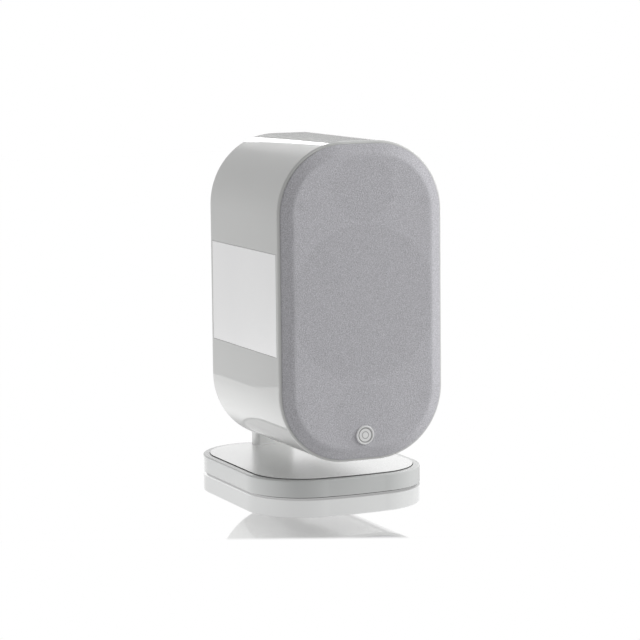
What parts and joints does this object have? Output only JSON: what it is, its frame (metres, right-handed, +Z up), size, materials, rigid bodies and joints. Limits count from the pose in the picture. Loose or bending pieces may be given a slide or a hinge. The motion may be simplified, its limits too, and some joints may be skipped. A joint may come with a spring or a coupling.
{
  "type": "bookshelf speaker",
  "caption": "Compact two-way loudspeaker with rounded gloss cabinet, cloth grille and satin side inlays, tilting on a low plate stand with a rear column.",
  "frame": {"origin": "on the desk, under the middle of the cabinet", "axes": "+X right seen from the front, the front faces -Y, +Z up"},
  "size_m": [0.147, 0.198, 0.2793],
  "materials": {
    "white_lacquer": "deep gloss white lacquer",
    "satin_panel": "satin off-white inlay",
    "silver_pad": "fine satin silver",
    "base_lacquer": "pearl white lacquer",
    "column_paint": "satin silver paint",
    "grille_fabric": "fine grey knit",
    "black_plastic": "moulded black",
    "red_plastic": "clear red moulding",
    "badge_metal": "spun",
    "baffle_board": "black painted board",
    "black_rubber": "matt",
    "cast_frame": "black powder coat",
    "steel": "machined",
    "zinc_screws": "zinc plated",
    "ferrite": "ground ferrite",
    "cone_paper": "coated paper",
    "spider_cloth": "resin-treated cloth",
    "copper_coil": "enamelled wire",
    "dome_silk": "coated silk",
    "wadding": "polyester fibre",
    "board_laminate": "printed board",
    "brass": "machined",
    "gold_plate": "gold plated",
    "wire_jacket": "smooth"
  },
  "bodies": {
    "stand": {"base_plate": "base_lacquer", "base_inset_pad": "silver_pad", "ballast_plate": "steel", "ballast_screws": "zinc_screws", "foot_mat": "black_rubber", "column": "column_paint", "column_screws": "zinc_screws", "pan_bush": "brass"},
    "swivel": {"swivel_head": "column_paint", "pan_pin": "steel", "friction_washers": "black_plastic"},
    "woofer_diaphragm": {"woofer_cone": "cone_paper", "woofer_dust_cap": "cone_paper", "woofer_voice_coil": "copper_coil"},
    "tweeter_diaphragm": {"tweeter_dome": "dome_silk", "tweeter_voice_coil": "copper_coil"},
    "grille": {"grille_frame": "black_plastic", "grille_cloth": "grille_fabric", "grille_badge": "badge_metal"},
    "red_clamp": {"clamp_washer_red": "gold_plate"},
    "red_knob": {"binding_knob_red": "red_plastic"},
    "black_clamp": {"clamp_washer_black": "gold_plate"},
    "black_knob": {"binding_knob_black": "black_plastic"},
    "cabinet": {"cabinet_shell": "white_lacquer", "side_panel_left": "satin_panel", "side_panel_right": "satin_panel", "baffle_gasket": "black_rubber", "front_baffle": "baffle_board", "baffle_screws": "zinc_screws", "grille_grommets": "black_rubber", "woofer_gasket": "black_rubber", "woofer_basket": "cast_frame", "woofer_trim_ring": "black_plastic", "driver_screws": "zinc_screws", "woofer_front_plate": "steel", "woofer_magnet": "ferrite", "woofer_yoke": "steel", "woofer_surround": "black_rubber", "woofer_spider": "spider_cloth", "tweeter_faceplate": "black_plastic", "tweeter_front_plate": "steel", "tweeter_magnet": "ferrite", "tweeter_yoke": "steel", "tweeter_surround": "dome_silk", "port_tube": "black_plastic", "acoustic_wadding": "wadding", "crossover_board": "board_laminate", "crossover_standoffs": "black_plastic", "crossover_coils": "copper_coil", "crossover_capacitors": "red_plastic", "woofer_wires": "wire_jacket", "tweeter_wires": "wire_jacket", "terminal_plate": "black_plastic", "terminal_screws": "zinc_screws", "terminal_studs": "gold_plate", "terminal_nuts": "brass", "mount_bracket": "column_paint", "bracket_screws": "zinc_screws", "tilt_bolt": "zinc_screws", "tilt_nut": "zinc_screws"}
  },
  "joints": [
    {"name": "pan", "type": "hinge", "parent": "stand", "child": "swivel", "pos_m": [0, 0.1075, 0.12], "axis": [0, 0, 1], "range_deg": [-20, 20]},
    {"name": "tilt", "type": "hinge", "parent": "swivel", "child": "cabinet", "pos_m": [0, 0.086, 0.1543], "axis": [-1, 0, 0], "range_deg": [-4, 15]},
    {"name": "woofer_travel", "type": "slide", "parent": "cabinet", "child": "woofer_diaphragm", "axis": [0, -1, 0], "range_m": [-0.003, 0.003], "stiffness_N_per_m": 1200, "deforming": ["woofer_surround", "woofer_spider"]},
    {"name": "tweeter_travel", "type": "slide", "parent": "cabinet", "child": "tweeter_diaphragm", "axis": [0, -1, 0], "range_m": [-0.0003, 0.0003], "stiffness_N_per_m": 800, "deforming": ["tweeter_surround"]},
    {"name": "grille_pull", "type": "slide", "parent": "cabinet", "child": "grille", "axis": [0, -1, 0], "range_m": [0, 0.06]},
    {"name": "red_clamp_slide", "type": "slide", "parent": "cabinet", "child": "red_clamp", "axis": [0, 1, 0], "range_m": [0, 0.0021]},
    {"name": "red_knob_turn", "type": "hinge", "parent": "red_clamp", "child": "red_knob", "pos_m": [0.019, 0.076, 0.2043], "axis": [0, 1, 0], "range_deg": [0, 1081]},
    {"name": "black_clamp_slide", "type": "slide", "parent": "cabinet", "child": "black_clamp", "axis": [0, 1, 0], "range_m": [0, 0.0021]},
    {"name": "black_knob_turn", "type": "hinge", "parent": "black_clamp", "child": "black_knob", "pos_m": [-0.019, 0.076, 0.2043], "axis": [0, 1, 0], "range_deg": [0, 1081]}
  ],
  "couplings": [
    {"joint": "red_knob_turn", "follows": "red_clamp_slide", "rad_per_m": 8976},
    {"joint": "black_knob_turn", "follows": "black_clamp_slide", "rad_per_m": 8976}
  ]
}
